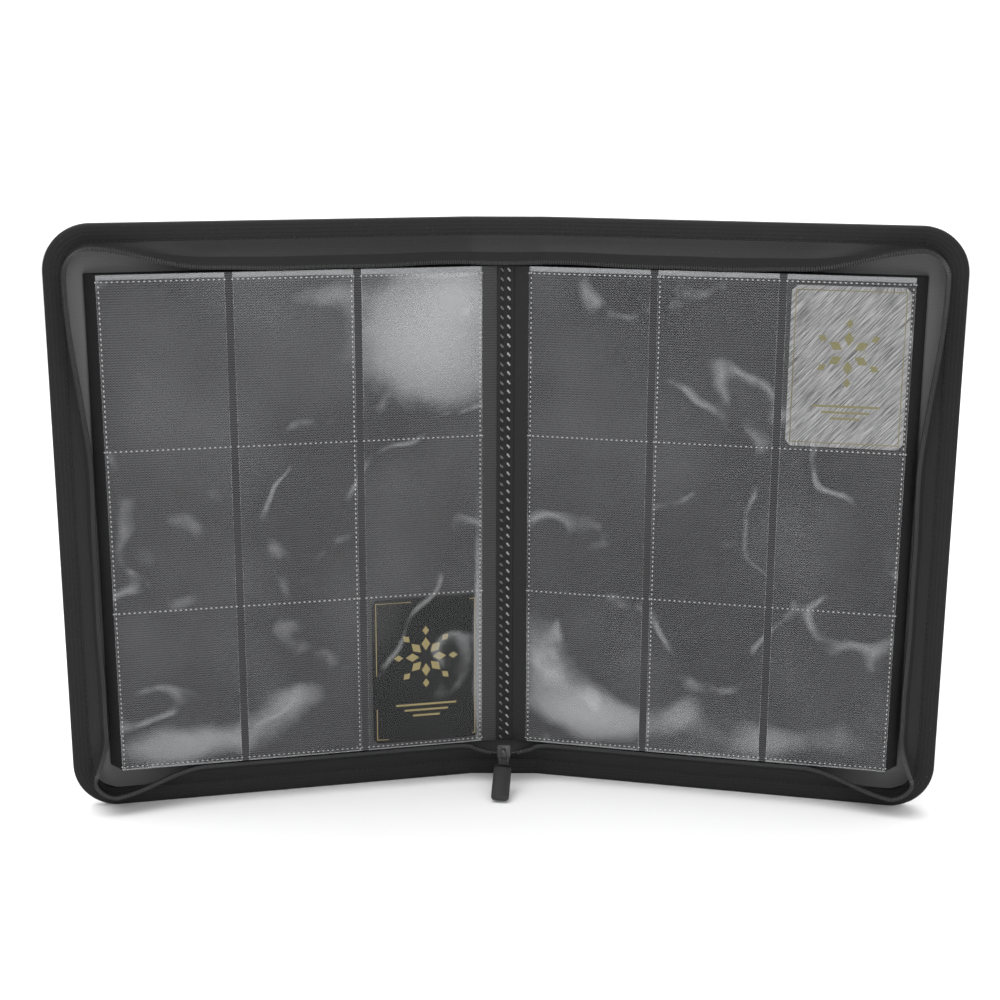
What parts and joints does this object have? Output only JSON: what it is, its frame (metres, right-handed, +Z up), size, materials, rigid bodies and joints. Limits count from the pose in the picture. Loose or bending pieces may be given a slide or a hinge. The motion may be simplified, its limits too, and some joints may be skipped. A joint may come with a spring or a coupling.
{
  "type": "trading card binder",
  "caption": "Zip-around card binder standing open, padded covers with a ribbed edge, gusset and zipper, and sewn-in pocket pages holding cards.",
  "frame": {"origin": "middle of the spine's foot, on the surface that the open binder stands on", "axes": "+X to the reader's right, +Y out of the spine's back, away from the reader, +Z up along the spine"},
  "size_m": [0.4992, 0.067, 0.336],
  "materials": {
    "leatherette": "soft grained",
    "foam": "soft",
    "board": "raw",
    "lining": "smooth satin",
    "binding_tape": "ribbed",
    "gusset_cloth": "plain",
    "zipper_cloth": "woven",
    "coil": "satin",
    "page_core": "canvas embossed",
    "pocket_film": "clear",
    "page": "canvas embossed",
    "seam": "woven",
    "thread": "waxed",
    "slider_metal": "satin black",
    "pull_rubber": "matt",
    "dark_card_face": "printed",
    "silver_card_face": "brushed foil print"
  },
  "bodies": {
    "spine": {"spine_skin": "leatherette", "spine_foam": "foam", "spine_board": "board", "spine_lining": "lining", "spine_edge_bindings": "binding_tape", "hinge_cloths": "leatherette", "page_fold_stack": "page", "seam_strip": "seam", "seam_thread": "thread", "gusset_bridge_foot": "gusset_cloth", "gusset_bridge_head": "gusset_cloth", "zipper_bridges": "zipper_cloth", "zipper_start_tapes": "zipper_cloth", "zipper_start_coil": "coil", "zipper_end_stop": "slider_metal"},
    "cover_left": {"cover_left_skin": "leatherette", "cover_left_foam": "foam", "cover_left_board": "board", "cover_left_lining": "lining", "cover_left_edge_binding": "binding_tape", "gusset_left": "gusset_cloth", "zipper_tape_left": "zipper_cloth", "zipper_coil_left": "coil"},
    "cover_right": {"cover_right_skin": "leatherette", "cover_right_foam": "foam", "cover_right_board": "board", "cover_right_lining": "lining", "cover_right_edge_binding": "binding_tape", "gusset_right": "gusset_cloth", "zipper_tape_right": "zipper_cloth", "zipper_coil_right": "coil"},
    "gutter_left": {"top_page_left_gutter": "page_core"},
    "top_page_left": {"top_page_left_core": "page_core", "top_page_left_pockets": "pocket_film"},
    "page_left_02": {"page_left_02": "page"},
    "page_left_03": {"page_left_03": "page"},
    "page_left_04": {"page_left_04": "page"},
    "page_left_05": {"page_left_05": "page"},
    "page_left_06": {"page_left_06": "page"},
    "page_left_07": {"page_left_07": "page"},
    "page_left_08": {"page_left_08": "page"},
    "page_left_09": {"page_left_09": "page"},
    "page_left_10": {"page_left_10": "page"},
    "gutter_right": {"top_page_right_gutter": "page_core"},
    "top_page_right": {"top_page_right_core": "page_core", "top_page_right_pockets": "pocket_film"},
    "page_right_02": {"page_right_02": "page"},
    "page_right_03": {"page_right_03": "page"},
    "page_right_04": {"page_right_04": "page"},
    "page_right_05": {"page_right_05": "page"},
    "page_right_06": {"page_right_06": "page"},
    "page_right_07": {"page_right_07": "page"},
    "page_right_08": {"page_right_08": "page"},
    "page_right_09": {"page_right_09": "page"},
    "page_right_10": {"page_right_10": "page"},
    "dark_card": {"dark_card": "dark_card_face"},
    "silver_card": {"silver_card": "silver_card_face"},
    "slider": {"slider": "slider_metal"},
    "pull": {"pull_link": "slider_metal", "pull_tab": "pull_rubber"}
  },
  "joints": [
    {"name": "cover_left_hinge", "type": "hinge", "parent": "spine", "child": "cover_left", "pos_m": [-0.02, 0, 0], "axis": [0, 0, 1], "range_deg": [-12.5, 77.5]},
    {"name": "gutter_left_follow", "type": "hinge", "parent": "spine", "child": "gutter_left", "pos_m": [-0.0055, -0.0121, 0], "axis": [0, 0, 1], "range_deg": [-12.5, 77.5]},
    {"name": "top_page_left_turn", "type": "hinge", "parent": "gutter_left", "child": "top_page_left", "pos_m": [-0.0055, -0.0121, 0], "axis": [0, 0, -1], "range_deg": [-150, 0]},
    {"name": "page_left_02_follow", "type": "hinge", "parent": "spine", "child": "page_left_02", "pos_m": [-0.00645, -0.01115, 0], "axis": [0, 0, 1], "range_deg": [-12.5, 77.5]},
    {"name": "page_left_03_follow", "type": "hinge", "parent": "spine", "child": "page_left_03", "pos_m": [-0.0074, -0.0102, 0], "axis": [0, 0, 1], "range_deg": [-12.5, 77.5]},
    {"name": "page_left_04_follow", "type": "hinge", "parent": "spine", "child": "page_left_04", "pos_m": [-0.00835, -0.00925, 0], "axis": [0, 0, 1], "range_deg": [-12.5, 77.5]},
    {"name": "page_left_05_follow", "type": "hinge", "parent": "spine", "child": "page_left_05", "pos_m": [-0.0093, -0.0083, 0], "axis": [0, 0, 1], "range_deg": [-12.5, 77.5]},
    {"name": "page_left_06_follow", "type": "hinge", "parent": "spine", "child": "page_left_06", "pos_m": [-0.01025, -0.00735, 0], "axis": [0, 0, 1], "range_deg": [-12.5, 77.5]},
    {"name": "page_left_07_follow", "type": "hinge", "parent": "spine", "child": "page_left_07", "pos_m": [-0.0112, -0.0064, 0], "axis": [0, 0, 1], "range_deg": [-12.5, 77.5]},
    {"name": "page_left_08_follow", "type": "hinge", "parent": "spine", "child": "page_left_08", "pos_m": [-0.01215, -0.00545, 0], "axis": [0, 0, 1], "range_deg": [-12.5, 77.5]},
    {"name": "page_left_09_follow", "type": "hinge", "parent": "spine", "child": "page_left_09", "pos_m": [-0.0131, -0.0045, 0], "axis": [0, 0, 1], "range_deg": [-12.5, 77.5]},
    {"name": "page_left_10_follow", "type": "hinge", "parent": "spine", "child": "page_left_10", "pos_m": [-0.01405, -0.00355, 0], "axis": [0, 0, 1], "range_deg": [-12.5, 77.5]},
    {"name": "cover_right_hinge", "type": "hinge", "parent": "spine", "child": "cover_right", "pos_m": [0.02, 0, 0], "axis": [0, 0, -1], "range_deg": [-12.5, 77.5]},
    {"name": "gutter_right_follow", "type": "hinge", "parent": "spine", "child": "gutter_right", "pos_m": [0.0055, -0.0121, 0], "axis": [0, 0, -1], "range_deg": [-12.5, 77.5]},
    {"name": "top_page_right_turn", "type": "hinge", "parent": "gutter_right", "child": "top_page_right", "pos_m": [0.0055, -0.0121, 0], "axis": [0, 0, 1], "range_deg": [-150, 0]},
    {"name": "page_right_02_follow", "type": "hinge", "parent": "spine", "child": "page_right_02", "pos_m": [0.00645, -0.01115, 0], "axis": [0, 0, -1], "range_deg": [-12.5, 77.5]},
    {"name": "page_right_03_follow", "type": "hinge", "parent": "spine", "child": "page_right_03", "pos_m": [0.0074, -0.0102, 0], "axis": [0, 0, -1], "range_deg": [-12.5, 77.5]},
    {"name": "page_right_04_follow", "type": "hinge", "parent": "spine", "child": "page_right_04", "pos_m": [0.00835, -0.00925, 0], "axis": [0, 0, -1], "range_deg": [-12.5, 77.5]},
    {"name": "page_right_05_follow", "type": "hinge", "parent": "spine", "child": "page_right_05", "pos_m": [0.0093, -0.0083, 0], "axis": [0, 0, -1], "range_deg": [-12.5, 77.5]},
    {"name": "page_right_06_follow", "type": "hinge", "parent": "spine", "child": "page_right_06", "pos_m": [0.01025, -0.00735, 0], "axis": [0, 0, -1], "range_deg": [-12.5, 77.5]},
    {"name": "page_right_07_follow", "type": "hinge", "parent": "spine", "child": "page_right_07", "pos_m": [0.0112, -0.0064, 0], "axis": [0, 0, -1], "range_deg": [-12.5, 77.5]},
    {"name": "page_right_08_follow", "type": "hinge", "parent": "spine", "child": "page_right_08", "pos_m": [0.01215, -0.00545, 0], "axis": [0, 0, -1], "range_deg": [-12.5, 77.5]},
    {"name": "page_right_09_follow", "type": "hinge", "parent": "spine", "child": "page_right_09", "pos_m": [0.0131, -0.0045, 0], "axis": [0, 0, -1], "range_deg": [-12.5, 77.5]},
    {"name": "page_right_10_follow", "type": "hinge", "parent": "spine", "child": "page_right_10", "pos_m": [0.01405, -0.00355, 0], "axis": [0, 0, -1], "range_deg": [-12.5, 77.5]},
    {"name": "dark_card_slide", "type": "slide", "parent": "top_page_left", "child": "dark_card", "axis": [-0.9763, -0.2164, 0], "range_m": [0, 0.003]},
    {"name": "silver_card_slide", "type": "slide", "parent": "top_page_right", "child": "silver_card", "axis": [-0.9763, 0.2164, 0], "range_m": [0, 0.003]},
    {"name": "slider_slide", "type": "slide", "parent": "spine", "child": "slider", "axis": [0, -0.4226, -0.9063], "range_m": [0, 0.004]},
    {"name": "pull_swing", "type": "hinge", "parent": "slider", "child": "pull", "pos_m": [0, -0.02389, 0.02002], "axis": [1, 0, 0], "range_deg": [-131, 18]}
  ],
  "couplings": [
    {"joint": "gutter_left_follow", "follows": "cover_left_hinge", "ratio": 1},
    {"joint": "page_left_02_follow", "follows": "cover_left_hinge", "ratio": 1},
    {"joint": "page_left_03_follow", "follows": "cover_left_hinge", "ratio": 1},
    {"joint": "page_left_04_follow", "follows": "cover_left_hinge", "ratio": 1},
    {"joint": "page_left_05_follow", "follows": "cover_left_hinge", "ratio": 1},
    {"joint": "page_left_06_follow", "follows": "cover_left_hinge", "ratio": 1},
    {"joint": "page_left_07_follow", "follows": "cover_left_hinge", "ratio": 1},
    {"joint": "page_left_08_follow", "follows": "cover_left_hinge", "ratio": 1},
    {"joint": "page_left_09_follow", "follows": "cover_left_hinge", "ratio": 1},
    {"joint": "page_left_10_follow", "follows": "cover_left_hinge", "ratio": 1},
    {"joint": "gutter_right_follow", "follows": "cover_right_hinge", "ratio": 1},
    {"joint": "page_right_02_follow", "follows": "cover_right_hinge", "ratio": 1},
    {"joint": "page_right_03_follow", "follows": "cover_right_hinge", "ratio": 1},
    {"joint": "page_right_04_follow", "follows": "cover_right_hinge", "ratio": 1},
    {"joint": "page_right_05_follow", "follows": "cover_right_hinge", "ratio": 1},
    {"joint": "page_right_06_follow", "follows": "cover_right_hinge", "ratio": 1},
    {"joint": "page_right_07_follow", "follows": "cover_right_hinge", "ratio": 1},
    {"joint": "page_right_08_follow", "follows": "cover_right_hinge", "ratio": 1},
    {"joint": "page_right_09_follow", "follows": "cover_right_hinge", "ratio": 1},
    {"joint": "page_right_10_follow", "follows": "cover_right_hinge", "ratio": 1}
  ]
}
